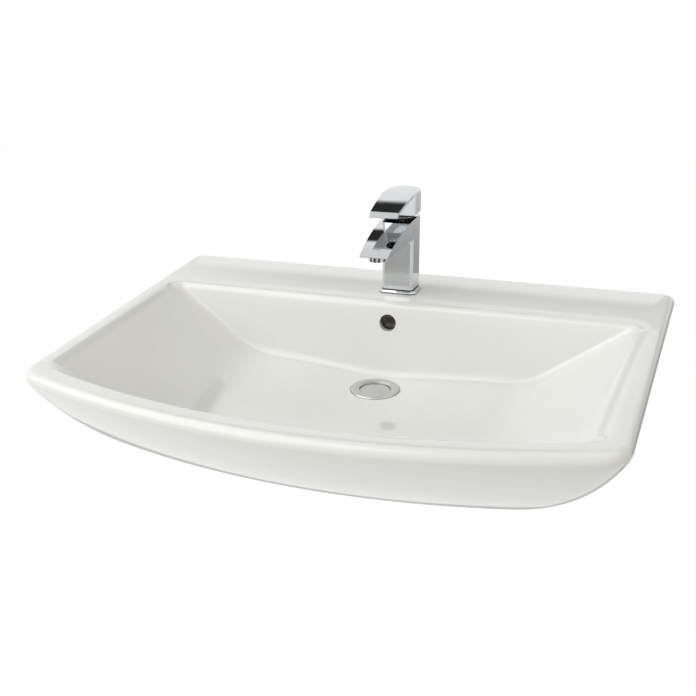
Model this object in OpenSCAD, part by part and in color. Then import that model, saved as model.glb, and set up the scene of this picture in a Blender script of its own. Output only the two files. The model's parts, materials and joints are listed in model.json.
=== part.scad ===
// Wall-hung washbasin with a single-lever mixer and a push-button waste.
// The origin lies on the wall, midway between the two fixing holes. +X runs
// to the right along the wall, +Y points into the wall and +Z points up.

/* [Basin outline] */
// Width of the basin at the wall
basin_w = 700; // [640:10:800]
// Depth from the wall to the middle of the front
basin_d = 535; // [500:5:560]
// How far each side runs in for every millimetre towards the front
side_taper = 0.086; // [0:0.002:0.1]
// Radius of the bowed front
front_r = 820; // [700:10:1200]
// Radius of the corners at the wall
back_corner_r = 12; // [10:1:20]
// Radius of the two front corners
front_corner_r = 32; // [26:1:50]
// Radius of the rounded upper edge
rim_edge_r = 9; // [6:1:10]

/* [Hull] */
// Height of the basin below its rim
hull_h = 145; // [142:1:160]
// How far the hull runs in at each side
hull_side_in = 124; // [110:2:140]
// How far the hull runs in at the front
hull_front_in = 211; // [190:1:220]
// Radius of the hull's front corners at its underside
hull_corner_r = 90; // [60:5:110]
// How the sides of the hull bend inwards
side_bend = 1.14; // [1:0.02:1.3]
// How the front of the hull bends inwards
front_bend = 1; // [0.9:0.02:1.1]
// How the hull's section bends down
hull_bend_down = 1.75; // [1.5:0.05:2]

/* [Bowl] */
// Depth of the tap ledge, from the wall to the bowl
ledge_d = 140; // [130:1:160]
// Width of the rim at each side
side_rim_w = 25; // [20:1:40]
// Width of the rim at the front
front_rim_w = 28; // [22:1:40]
// Depth of the bowl where its walls meet its floor
bowl_h = 85; // [70:1:92]
// Depth of the bowl at the waste
waste_depth = 97; // [94:1:108]
// How far the bowl's side walls run in
bowl_side_in = 124; // [90:2:140]
// How far the bowl's back wall runs in
bowl_back_in = 17; // [12:1:30]
// How far the bowl's front wall runs in
bowl_front_in = 52; // [40:1:60]
// Radius of the bowl's corners at the ledge
bowl_corner_r = 12; // [9:1:20]
// Radius of the bowl's front corners at the rim
bowl_front_corner_r = 24; // [16:1:30]
// Radius of the corners at the foot of the walls
foot_corner_r = 16; // [10:1:24]
// Width of the rounding between the rim and the bowl
lip_w = 8; // [5:1:9]
// Width of the rounding between the side or front walls and the floor
fillet_w = 24; // [15:1:30]
// Width of the rounding between the back wall and the floor
back_fillet_w = 6; // [4:0.5:7]
// Distance over which the floor falls to the waste
funnel_r = 170; // [100:5:200]

/* [Underside] */
// Thickness of the ledge that the tap stands on
ledge_t = 16; // [12:1:20]
// Thickness of the wall plate at the back
back_wall_t = 15; // [12:1:20]
// Thickness of the ceramic at the waste, without its collar
floor_t = 14; // [11:1:16]
// Width of the recess behind the bowl
recess_w = 380; // [340:10:390]
// Radius of the recess corners
recess_r = 20; // [10:1:25]
// Radius of the collar round the waste
collar_r = 36; // [34:1:40]
// Height of the ceramic through which the waste passes
collar_h = 44; // [40:1:44]

/* [Fixing] */
// Depth of the fixing holes below the rim
bolt_drop = 75; // [65:1:85]
// Distance between the fixing holes
bolt_spacing = 280; // [200:5:300]
// Diameter of the fixing holes
bolt_hole_d = 14; // [12:0.5:18]

/* [Tap hole, overflow and waste hole] */
// Distance of the tap hole from the wall
tap_from_wall = 80; // [76:1:82]
// Diameter of the tap hole
tap_hole_d = 35; // [34:0.5:36]
// Distance of the waste from the wall
waste_from_wall = 200; // [196:1:230]
// Diameter of the waste hole
waste_hole_d = 46; // [45:0.5:47]
// Depth of the overflow hole below the rim
overflow_drop = 27; // [25:1:40]
// Diameter of the overflow hole
overflow_d = 22; // [16:1:24]
// Diameter of the overflow duct
duct_d = 16; // [12:1:18]
// Ceramic round the overflow duct
duct_wall = 7; // [5:0.5:8]

/* [Tap body] */
// Width and depth of the column
column_w = 43; // [42:1:46]
// Chamfer on the column's two front corners
column_chamfer = 4.5; // [3:0.5:6]
// Radius of the column's two back corners
column_back_r = 12; // [8:1:14]
// Height of the base plate that the column stands on
base_h = 3; // [3:0.5:6]
// How far the base plate stands out all round
base_lip = 3.5; // [2:0.5:5]
// Thickness of the rubber gasket under the base plate
gasket_t = 1; // [0.8:0.1:2]
// Thickness of the black seal between the base plate and the column
foot_seal_t = 1.5; // [1:0.1:2]
// How far that seal is set back from the column's faces
foot_seal_in = 0.8; // [0.5:0.1:1.5]
// Height of the body's top above the ledge
body_h = 100; // [98:1:110]
// Reach of the spout's tip from the tap's middle
spout_reach = 129; // [122:1:140]
// Width of the spout's tip
spout_tip_w = 35; // [32:1:38]
// Distance from the top of the body down to the spout's underside
spout_t = 25; // [24:0.5:27]
// Drop of the spout's top towards its tip
spout_drop = 23; // [19:0.5:24]
// Radius between the column and the spout
spout_fillet_r = 7; // [4:1:10]

/* [Lever] */
// Gap between the body and the lever
lever_gap = 5.2; // [5:0.1:7]
// Height of the lever's block
lever_h = 29.5; // [27:0.5:34]
// Reach of the lever's tip from the tap's middle
lever_reach = 90; // [70:1:110]
// Width of the lever's tip
lever_tip_w = 35; // [30:1:38]
// Drop of the lever's top towards its tip
lever_drop = 13; // [10:0.5:15]
// Fall of the lever's crowned top towards its sides
lever_crown = 2.4; // [1.5:0.1:3]
// Thickness of the lever's paddle
paddle_t = 4; // [3:0.25:5]
// Wall thickness of the lever's block
block_wall = 3.5; // [3:0.25:5]
// Depth of the lever's pivot below the top of the body
pivot_drop = 12; // [11:0.5:13]
// Thickness of the valve stem
stem_w = 7; // [6:0.5:7]

/* [Valve cartridge] */
// Diameter of the cartridge
cartridge_d = 28; // [27:0.5:28]
// Height of the cartridge, from its seat to the top of the body
cartridge_h = 40; // [38:0.5:43]
// Distance of the cartridge behind the tap's middle
cartridge_back = 3; // [2.5:0.25:3.5]
// Thickness of each ceramic disc
disc_t = 3.5; // [3:0.1:3.6]
// Running clearance between sliding pieces
running_gap = 0.3; // [0.2:0.05:0.4]
// Clearance of threads and seated round pieces
thread_gap = 0.05; // [0.04:0.01:0.08]

/* [Aerator] */
// Diameter of the aerator's collar
aerator_d = 20; // [18:0.5:21]
// Distance of the aerator's middle behind the spout's tip
aerator_back = 16; // [16:0.5:24]
// How far the aerator stands out under the spout
aerator_out = 6; // [5:0.5:9]

/* [Tap fixing] */
// Diameter of the mounting stud
stud_d = 8; // [6:0.5:8]
// Length of the stud below the ledge
stud_below = 45; // [30:1:60]
// Diameter of the water inlets
inlet_d = 9.2; // [8.8:0.1:9.6]
// Depth of the water inlets
inlet_h = 14; // [10:1:18]
// Thickness of the rubber and the metal clamp washers
clamp_t = 3; // [2:0.5:4]

/* [Waste] */
// Diameter of the waste's flange
flange_d = 62.5; // [60:0.5:64]
// Diameter of the waste's tube
waste_tube_d = 41.9; // [41.5:0.1:42.2]
// Wall of the waste's tube
waste_tube_wall = 2.4; // [2:0.1:3]
// Length of the waste's tube below the flange
waste_tube_l = 92; // [86:1:110]
// Diameter of the plug
plug_d = 38.6; // [38:0.1:39]
// Travel of the plug
plug_travel = 8; // [6:0.5:9]

/* [Hidden] */
$fn = 64;
eps = 0.5;

// Small helpers

function bezier(a, b, c, t) = (1 - t) * (1 - t) * a + 2 * t * (1 - t) * b + t * t * c;

function mix(a, b, t) = a + (b - a) * t;

// Everything below is drawn with z = 0 at the rim, then raised to the bolts
module at_rim() { translate([0, 0, bolt_drop]) children(); }

// The tap is drawn round its own middle, with z = 0 on the ledge
module at_tap() { at_rim() translate([0, -tap_from_wall, 0]) children(); }

// The cartridge is drawn round its own axis, with z = 0 on the ledge
module at_cartridge() { at_tap() translate([0, cartridge_back, 0]) children(); }

// The waste is drawn round its own axis, with z = 0 on the bowl's seat for it
module at_waste() { at_rim() translate([0, -waste_from_wall, -waste_depth]) children(); }

// Basin: its hull and bowl are rings of points, each with a straight back, two
// tapering sides, a bowed front and four round corners

back_steps = 6;
corner_steps = 4;
side_steps = 6;
front_corner_steps = 5;
front_steps = 7;

// Points of the right half of a ring, as distance to the right and from the wall
function half_ring(half_w, back, depth, bow_r, back_r, front_corner) =
  let (
    slant = sqrt(1 + side_taper * side_taper),
    side_angle = atan(side_taper),
    // Middle of the back corner
    bt = back + back_r,
    bx = half_w - side_taper * bt - back_r * slant,
    // Middle of the front corner, which touches the side and the bow
    reach = half_w - front_corner * slant,
    bow_mid = depth - bow_r,
    p = reach * side_taper + bow_mid,
    q = reach * reach + bow_mid * bow_mid - pow(bow_r - front_corner, 2),
    ft = (p + sqrt(p * p - slant * slant * q)) / (slant * slant),
    fx = reach - side_taper * ft,
    bow_angle = atan2(ft - bow_mid, fx),
    side_start = [bx + back_r * cos(side_angle), bt + back_r * sin(side_angle)],
    side_end = [fx + front_corner * cos(side_angle), ft + front_corner * sin(side_angle)]
  )
  concat(
    [for (i = [0 : back_steps - 1]) [bx * i / back_steps, back]],
    [for (i = [0 : corner_steps - 1])
      let (a = mix(-90, side_angle, i / corner_steps)) [bx + back_r * cos(a), bt + back_r * sin(a)]],
    [for (i = [0 : side_steps - 1]) mix(side_start, side_end, i / side_steps)],
    [for (i = [0 : front_corner_steps - 1])
      let (a = mix(side_angle, bow_angle, i / front_corner_steps))
        [fx + front_corner * cos(a), ft + front_corner * sin(a)]],
    [for (i = [0 : front_steps])
      let (a = mix(bow_angle, 90, i / front_steps)) [bow_r * cos(a), bow_mid + bow_r * sin(a)]]
  );

// Whole ring at a depth below the rim
function ring(half_w, back, depth, bow_r, back_r, front_corner, below) =
  let (h = half_ring(half_w, back, depth, bow_r, back_r, front_corner), n = len(h))
  concat(
    [for (i = [0 : n - 1]) [h[i][0], -h[i][1], -below]],
    [for (i = [n - 2 : -1 : 1]) [-h[i][0], -h[i][1], -below]]
  );

half_w = basin_w / 2;

// Hull section: angle 0 at the rim, 90 at the underside
function hull_ring(angle) =
  let (
    run = 1 - pow(cos(angle), side_bend),
    front_run = 1 - pow(cos(angle), front_bend),
    fall = pow(sin(angle), hull_bend_down),
    top = rim_edge_r + 1
  )
  ring(half_w - hull_side_in * run, 0, basin_d - hull_front_in * front_run, front_r, back_corner_r,
    mix(front_corner_r, hull_corner_r, run), mix(top, hull_h, fall));

// Rounded upper edge
function edge_ring(angle) =
  let (inset = rim_edge_r * (1 - cos(angle)))
  ring(half_w - inset, inset * 0.4, basin_d - inset, front_r - inset,
    back_corner_r - inset * 0.4, front_corner_r - inset, rim_edge_r * (1 - sin(angle)));

// Bowl: every wall runs in by its own amount, which grows with the depth
bowl_top_half_w = half_w - side_rim_w;
bowl_depth_d = basin_d - front_rim_w;
seat_r = flange_d / 2 + 2;

function bowl_ring(side, back, front, back_r, front_r_in, below) =
  ring(bowl_top_half_w - side, ledge_d + back, bowl_depth_d - front,
    front_r - front_rim_w - front, back_r, front_r_in, below);

// Foot of the walls, seen from above, and the depth of the floor at each of its points
foot = bowl_ring(bowl_side_in + fillet_w, bowl_back_in + back_fillet_w, bowl_front_in + fillet_w,
  foot_corner_r, foot_corner_r * 1.6, 0);

function floor_depth(x, y) =
  let (far = min(1, max(0, norm([x, y + waste_from_wall]) - seat_r) / funnel_r))
    mix(waste_depth, bowl_h, far * (2 - far));

foot_depth = [for (p = foot) floor_depth(p[0], p[1])];

// A ring whose depth is a share of the floor's depth below it
function deepen(r, share) = [for (j = [0 : len(r) - 1]) [r[j][0], r[j][1], -share * foot_depth[j]]];

wall_share = 0.1;
fillet_share = 0.2;

function lip_ring(t) =
  deepen(bowl_ring(
    bezier(-lip_w, 0, bowl_side_in * wall_share, t), bezier(-lip_w, 0, bowl_back_in * wall_share, t),
    bezier(-lip_w, 0, bowl_front_in * wall_share, t), bowl_corner_r + lip_w * (1 - t),
    bowl_front_corner_r + lip_w * (1 - t), 0), bezier(0, 0, wall_share, t));

function wall_ring(t) =
  let (s = mix(wall_share, 1 - fillet_share, t))
  deepen(bowl_ring(bowl_side_in * s, bowl_back_in * s, bowl_front_in * s, bowl_corner_r,
    mix(bowl_front_corner_r, foot_corner_r * 1.6, t), 0), s);

function fillet_ring(t) =
  let (s = 1 - fillet_share)
  deepen(bowl_ring(
    bezier(bowl_side_in * s, bowl_side_in, bowl_side_in + fillet_w, t),
    bezier(bowl_back_in * s, bowl_back_in, bowl_back_in + back_fillet_w, t),
    bezier(bowl_front_in * s, bowl_front_in, bowl_front_in + fillet_w, t),
    mix(bowl_corner_r, foot_corner_r, t), foot_corner_r * 1.6, 0), bezier(s, 1, 1, t));

// Floor: from the foot of the walls to the flat round seat of the waste
function floor_ring(t) =
  [for (p = foot)
    let (
      from_waste = [p[0], p[1] + waste_from_wall],
      at = mix(from_waste, from_waste * seat_r / norm(from_waste), t)
    )
    [at[0], at[1] - waste_from_wall, -floor_depth(at[0], at[1] - waste_from_wall)]];

basin_rings = concat(
  [for (i = [0 : 10]) hull_ring(90 - i * 9)],
  [for (i = [0 : 4]) edge_ring(i * 22.5)],
  [for (i = [0 : 4]) lip_ring(i / 4)],
  [for (i = [1 : 2]) wall_ring(i / 2)],
  [for (i = [1 : 5]) fillet_ring(i / 5)],
  [for (i = [1 : 5]) floor_ring(i / 5)]
);

// Closes a stack of rings with equal counts of points into one solid
module ring_solid(rings) {
  n = len(rings[0]);
  m = len(rings);
  points = concat([for (r = rings) for (p = r) p], [middle(rings[0]), middle(rings[m - 1])]);
  sides = [for (i = [0 : m - 2], j = [0 : n - 1])
    let (a = i * n + j, b = i * n + (j + 1) % n, c = b + n, d = a + n)
      each [[a, b, c], [a, c, d]]];
  first = [for (j = [0 : n - 1]) [m * n, (j + 1) % n, j]];
  last = [for (j = [0 : n - 1]) [m * n + 1, (m - 1) * n + j, (m - 1) * n + (j + 1) % n]];
  polyhedron(points, concat(first, sides, last), convexity = 6);
}

// Point halfway between the middle of a ring's back and the middle of its front
function middle(r) = (r[0] + r[len(r) / 2]) / 2;

// Oblong with round corners, from x0, y0 to x1, y1
module round_oblong(x0, y0, x1, y1, r) {
  steps = 6;
  corners = [[x1 - r, y1 - r, 0], [x0 + r, y1 - r, 90], [x0 + r, y0 + r, 180], [x1 - r, y0 + r, 270]];
  polygon([for (c = corners, i = [0 : steps])
    let (a = c[2] + 90 * i / steps) [c[0] + r * cos(a), c[1] + r * sin(a)]]);
}

recess_front = ledge_d - 9;
duct_y = -(recess_front - 9);
duct_bottom = waste_depth + floor_t + duct_d / 2;

module basin() {
  color("whitesmoke") at_rim() difference() {
    union() {
      difference() {
        ring_solid(basin_rings);
        // Recess behind the bowl, open below, for the tap, the pipes and the bolts
        translate([0, 0, -hull_h - eps]) linear_extrude(height = hull_h + eps - ledge_t)
          round_oblong(-recess_w / 2, -recess_front, recess_w / 2, -back_wall_t, recess_r);
        // Recess under the bowl's floor, round the waste
        translate([0, 0, -hull_h - eps])
          linear_extrude(height = hull_h + eps - waste_depth - floor_t)
            round_oblong(-recess_w / 2 + 30, -waste_from_wall - 90, recess_w / 2 - 30,
              -recess_front + recess_r * 2, recess_r);
      }
      // Collar that the waste clamps
      translate([0, -waste_from_wall, -waste_depth - collar_h])
        cylinder(r = collar_r, h = collar_h - 8);
      // Overflow duct, down behind the bowl and forward to the collar
      translate([0, duct_y, -duct_bottom - duct_d / 2 - duct_wall + 2])
        cylinder(d = duct_d + 2 * duct_wall, h = duct_bottom + duct_d / 2 + duct_wall - 2 - ledge_t / 2);
      translate([-duct_d / 2 - duct_wall, -waste_from_wall, -duct_bottom - duct_d / 2 - duct_wall + 2])
        cube([duct_d + 2 * duct_wall, waste_from_wall + duct_y, duct_d + duct_wall + 2]);
    }
    // Tap hole
    translate([0, -tap_from_wall, -ledge_t - eps]) cylinder(d = tap_hole_d, h = ledge_t + 2 * eps);
    // Waste hole and the shallow seat for the flange
    translate([0, -waste_from_wall, -waste_depth - collar_h - eps])
      cylinder(d = waste_hole_d, h = collar_h + 2 * eps);
    translate([0, -waste_from_wall, -waste_depth - flange_seat])
      cylinder(d = flange_d + 1.5, h = flange_seat + 2 * eps);
    // Overflow hole and duct
    translate([0, duct_y, -overflow_drop]) rotate([90, 0, 0])
      cylinder(d = overflow_d, h = ledge_d + bowl_back_in + duct_y + 5);
    translate([0, duct_y, -duct_bottom]) cylinder(d = duct_d, h = duct_bottom - overflow_drop);
    translate([0, duct_y, -duct_bottom]) rotate([90, 0, 0])
      cylinder(d = duct_d, h = waste_from_wall + duct_y);
    // Fixing holes
    for (s = [-1, 1]) translate([s * bolt_spacing / 2, eps, -bolt_drop]) rotate([90, 0, 0])
      cylinder(d = bolt_hole_d, h = back_wall_t + 2 * eps);
  }
}

// Tap

column_half = column_w / 2;

// Two round back corners of a plan that is twice half wide
plan_steps = 8;
function back_corners(half, r) = [for (s = [1, -1], i = [0 : plan_steps])
  let (a = 90 * (s > 0 ? i : plan_steps - i) / plan_steps)
    [s * (half - r + r * cos(a)), half - r + r * sin(a)]];

// Plan of the column: round at the back, cut corners at the front
module column_plan(half, cut, r) {
  polygon(concat(back_corners(half, r),
    [[-half, cut - half], [cut - half, -half], [half - cut, -half], [half, cut - half]]));
}

// Plan of a blade: round at the back, narrowing to its tip
module blade_plan(half, r, reach, tip_w) {
  polygon(concat(back_corners(half, r), [[-tip_w / 2, -reach], [tip_w / 2, -reach]]));
}

// Height of a blade's top at a reach y, falling from the back to the tip
function blade_top(y, back, reach, top, drop, power) = top - drop * pow((back - y) / (back + reach), power);

// Turns a profile of y and z into a slab across the tap
module side_slab(points, width) {
  translate([-width / 2, 0, 0]) rotate([90, 0, 90]) linear_extrude(height = width) polygon(points);
}

curve_steps = 14;
spout_bevel = 14;
spout_power = 2.8;
spout_top = [for (i = [0 : curve_steps])
  let (y = mix(column_half, spout_bevel - spout_reach, i / curve_steps))
    [y, blade_top(y, column_half, spout_reach, body_h, spout_drop, spout_power)]];
spout_tip_h = body_h - spout_drop + 0.4;
spout_under_h = body_h - spout_t;
body_z0 = gasket_t + base_h + foot_seal_t;
fillet_bottom = spout_under_h - spout_fillet_r;
spout_under = concat(
  [[-spout_reach, spout_tip_h], [-spout_reach + 1, spout_tip_h - 1.5], [-spout_reach + 3, spout_under_h]],
  [for (i = [0 : 5]) let (a = 90 - i * 18)
    [-column_half - spout_fillet_r + spout_fillet_r * cos(a), fillet_bottom + spout_fillet_r * sin(a)]],
  [[-column_half, body_z0], [column_half, body_z0]]
);

seat_h = body_h - cartridge_h;
nut_thread_d = cartridge_d + 4;
nut_h = 6;
waterway_d = 5.5;
waterway_h = spout_under_h + 4.4;
aerator_reach = spout_reach - aerator_back;
aerator_bore_top = spout_under_h + 3.2;
aerator_z0 = spout_under_h - aerator_out;
inlet_x = 7.8;
inlet_y = 5;
stud_y = -10;

module tap_body() {
  color("silver") at_tap() difference() {
    intersection() {
      side_slab(concat(spout_top, spout_under), column_w + 2);
      linear_extrude(height = body_h + 1) blade_plan(column_half, column_back_r, spout_reach + 1, spout_tip_w);
    }
    // Cut corners on the column's front
    for (s = [-1, 1]) translate([s * column_half, -column_half, body_z0 - 1])
      linear_extrude(height = spout_under_h - 1 - body_z0 + 1)
        polygon([[s, -1], [s, column_chamfer], [0, column_chamfer], [-s * column_chamfer, 0],
          [-s * column_chamfer, -1]]);
    // Chamber for the cartridge and the thread of its nut
    translate([0, cartridge_back, seat_h]) cylinder(d = cartridge_d + 2 * running_gap, h = body_h);
    translate([0, cartridge_back, body_h - nut_h - 3]) cylinder(d = nut_thread_d, h = body_h);
    // Waterway to the spout and the bore for the aerator
    translate([0, 0, waterway_h]) rotate([90, 0, 0]) cylinder(d = waterway_d, h = aerator_reach - aerator_d / 4);
    translate([0, -aerator_reach, aerator_z0])
      cylinder(d = aerator_d + 2 * thread_gap, h = aerator_bore_top - aerator_z0);
    // Inlets and their passages to the seat
    for (s = [-1, 1]) translate([s * inlet_x, inlet_y, 0]) {
      translate([0, 0, body_z0 - 1]) cylinder(d = inlet_d, h = inlet_h + 1);
      translate([0, 0, body_z0]) cylinder(d = inlet_d - 0.8, h = seat_h - body_z0 - 6);
      translate([0, 0, body_z0]) cylinder(d = inlet_d - 3, h = seat_h);
    }
    translate([0, stud_y, body_z0 - 1]) cylinder(d = stud_d, h = inlet_h + 5);
  }
}

module foot_seal() {
  color("black") at_tap() translate([0, 0, gasket_t + base_h]) difference() {
    linear_extrude(height = foot_seal_t)
      column_plan(column_half - foot_seal_in, column_chamfer, column_back_r - foot_seal_in);
    translate([0, 0, -1]) cylinder(d = tap_hole_d - 3, h = foot_seal_t + 2);
  }
}

module tap_base_ring() {
  color("silver") at_tap() difference() {
    hull() {
      translate([0, 0, gasket_t]) linear_extrude(height = base_h - 2)
        column_plan(column_half + base_lip, column_chamfer + 1, column_back_r + base_lip);
      translate([0, 0, gasket_t]) linear_extrude(height = base_h)
        column_plan(column_half + base_lip - 2, column_chamfer + 0.5, column_back_r + base_lip - 2);
    }
    cylinder(d = tap_hole_d - 3, h = 20);
  }
}

module base_gasket() {
  color("dimgray") at_tap() difference() {
    linear_extrude(height = gasket_t)
      column_plan(column_half + base_lip - 1, column_chamfer + 1, column_back_r + base_lip - 1);
    translate([0, 0, -1]) cylinder(d = tap_hole_d - 1, h = gasket_t + 2);
  }
}

module mounting_stud() {
  color("gray") at_tap() translate([0, stud_y, -ledge_t - stud_below])
    cylinder(d = stud_d - 2 * thread_gap, h = ledge_t + stud_below + body_z0 + inlet_h);
}

clamp_r = 24;
slot_r = inlet_d / 2 + 12;
// Horseshoe washer: bridges the tap hole and leaves room for the hoses
module horseshoe(top) {
  slot_y = stud_y + stud_d / 2 + 2 + slot_r;
  translate([0, 0, top - clamp_t]) difference() {
    cylinder(r = clamp_r, h = clamp_t);
    translate([0, stud_y, -1]) cylinder(d = stud_d + 2 * thread_gap, h = clamp_t + 2);
    translate([0, slot_y, -1]) cylinder(r = slot_r, h = clamp_t + 2);
    translate([-slot_r, slot_y, -1]) cube([2 * slot_r, clamp_r, clamp_t + 2]);
  }
}

module clamp_rubber() { color("black") at_tap() horseshoe(-ledge_t); }

module clamp_plate() { color("lightgray") at_tap() horseshoe(-ledge_t - clamp_t); }

module stud_nut() {
  color("goldenrod") at_tap() translate([0, stud_y, -ledge_t - 2 * clamp_t - 12]) difference() {
    union() {
      cylinder(d = stud_d + 7, h = 8, $fn = 6);
      cylinder(d = stud_d + 5, h = 12);
    }
    translate([0, 0, -1]) cylinder(d = stud_d + 2 * thread_gap, h = 14);
  }
}

// Valve cartridge, from its seat upwards

seal_t = 1.5;
base_t = 4.5;
pivot_h = body_h - pivot_drop;
lever_z0 = body_h + lever_gap;
lever_top_h = lever_z0 + lever_h;
base_z = seat_h + seal_t;
fixed_z = base_z + base_t;
moving_z = fixed_z + disc_t;
carrier_z = moving_z + disc_t;
carrier_t = 3.5;
turret_z = carrier_z + carrier_t + running_gap;
housing_top = body_h - nut_h;
top_plate = 3;
turret_r = cartridge_d / 2 - 2;
neck_r = 9;
disc_r = 9.5;
// The moving disc starts behind the axis and slides as far before it
disc_travel = 3.4;
port_y = inlet_y - cartridge_back;

module three_ports(z, h, d) {
  for (p = [[inlet_x - 2.5, port_y + 3], [2.5 - inlet_x, port_y + 3], [0, -6]])
    translate([p[0], p[1], z]) cylinder(d = d, h = h);
}

module cartridge_seals() {
  color("black") at_cartridge() difference() {
    three_ports(seat_h, seal_t, 8);
    three_ports(seat_h - 1, seal_t + 2, 5.4);
  }
}

module cartridge_base() {
  color("white") at_cartridge() difference() {
    translate([0, 0, base_z]) cylinder(d = cartridge_d, h = base_t);
    three_ports(base_z - 1, base_t + 2, 5);
  }
}

module fixed_disc() {
  color("linen") at_cartridge() difference() {
    translate([0, 0, fixed_z]) cylinder(r = cartridge_d / 2 - 1.8, h = disc_t);
    three_ports(fixed_z - 1, disc_t + 2, 5);
  }
}

module moving_disc() {
  color("linen") at_cartridge() translate([0, disc_travel / 2, 0]) difference() {
    translate([0, 0, moving_z]) cylinder(r = disc_r, h = disc_t);
    translate([0, -1.5, moving_z - 1]) cylinder(d = 9, h = 2.5);
  }
}

pocket_h = 3;
stem_foot_w = stem_w - 2;
module disc_carrier() {
  color("white") at_cartridge() difference() {
    translate([0, disc_travel / 2, carrier_z]) cylinder(r = disc_r, h = carrier_t);
    translate([-stem_foot_w / 2 - running_gap, -stem_foot_w / 2 - 0.9, carrier_z + carrier_t - pocket_h])
      cube([stem_foot_w + 2 * running_gap, stem_foot_w + 1.8, pocket_h + 1]);
  }
}

module cartridge_housing() {
  color("whitesmoke") at_cartridge() difference() {
    translate([0, 0, fixed_z]) cylinder(d = cartridge_d, h = housing_top - fixed_z);
    translate([0, 0, fixed_z - 1]) cylinder(r = cartridge_d / 2 - 1.5, h = housing_top - top_plate - fixed_z + 1);
    cylinder(r = neck_r + running_gap, h = body_h);
    // Side opening that lets the mixed water out to the spout
    translate([0, 0, waterway_h]) rotate([90, 0, 0]) cylinder(d = 5, h = cartridge_d);
  }
}

stem_slot_half = 7.6;
module cartridge_turret() {
  color("dimgray") at_cartridge() difference() {
    union() {
      translate([0, 0, turret_z]) cylinder(r = turret_r, h = housing_top - top_plate - running_gap - turret_z);
      translate([0, 0, turret_z]) cylinder(r = neck_r, h = body_h - turret_z);
    }
    translate([-stem_w / 2 - running_gap, -stem_slot_half, turret_z - 1])
      cube([stem_w + 2 * running_gap, 2 * stem_slot_half, body_h]);
    translate([-turret_r - 1, 0, pivot_h]) rotate([0, 90, 0])
      cylinder(d = pin_d + 2 * thread_gap, h = 2 * turret_r + 2);
  }
}

pin_d = 2.5;
module turret_pin() {
  color("gray") at_cartridge() translate([-turret_r + 0.5, 0, pivot_h]) rotate([0, 90, 0])
    cylinder(d = pin_d, h = 2 * turret_r - 1);
}

stem_top = lever_z0 + 0.6 * lever_h;
module valve_stem() {
  color("gray") at_cartridge() difference() {
    union() {
      translate([-stem_w / 2, -stem_w / 2, pivot_h - 5]) cube([stem_w, stem_w, stem_top - pivot_h + 5]);
      translate([-stem_foot_w / 2, -stem_foot_w / 2, carrier_z + carrier_t - pocket_h + 0.7])
        cube([stem_foot_w, stem_foot_w, pivot_h - carrier_z - 2]);
    }
    translate([-stem_w, 0, pivot_h]) rotate([0, 90, 0]) cylinder(d = pin_d + 2 * thread_gap, h = 2 * stem_w);
  }
}

module cartridge_nut() {
  color("goldenrod") at_cartridge() translate([0, 0, housing_top]) difference() {
    cylinder(d = nut_thread_d - 2 * thread_gap, h = nut_h);
    translate([0, 0, -1]) cylinder(r = neck_r + 0.6, h = nut_h + 2);
  }
}

neck_ring_r = 15;
module neck_ring() {
  color("black") at_cartridge() translate([0, 0, body_h]) difference() {
    cylinder(r = neck_ring_r, h = 3.5);
    translate([0, 0, -1]) cylinder(r = neck_r + 1.5, h = 6);
  }
}

// Lever

lever_half = column_half + 0.5;
lever_bevel = 7;
lever_power = 1.9;
lever_tip_h = lever_top_h - lever_drop - 5.5;
roof_t = 8;
crown_r = (pow(lever_half, 2) + pow(lever_crown, 2)) / (2 * lever_crown);
lever_line = [for (i = [0 : curve_steps])
  let (y = mix(lever_half, lever_bevel - lever_reach, i / curve_steps))
    [y, blade_top(y, lever_half, lever_reach - lever_bevel, lever_top_h, lever_drop, lever_power)]];
paddle_line = concat(
  lever_line,
  [[-lever_reach, lever_tip_h], [-lever_reach + 1.5, lever_tip_h - 1]],
  [for (i = [curve_steps : -1 : 0]) [lever_line[i][0], lever_line[i][1] - paddle_t]]
);
screw_d = 5;
screw_h = lever_z0 + 0.33 * lever_h;
screw_cap_t = 2.5;
screw_l = 9;
dot_d = 1.8;
dot_t = 0.6;

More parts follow.
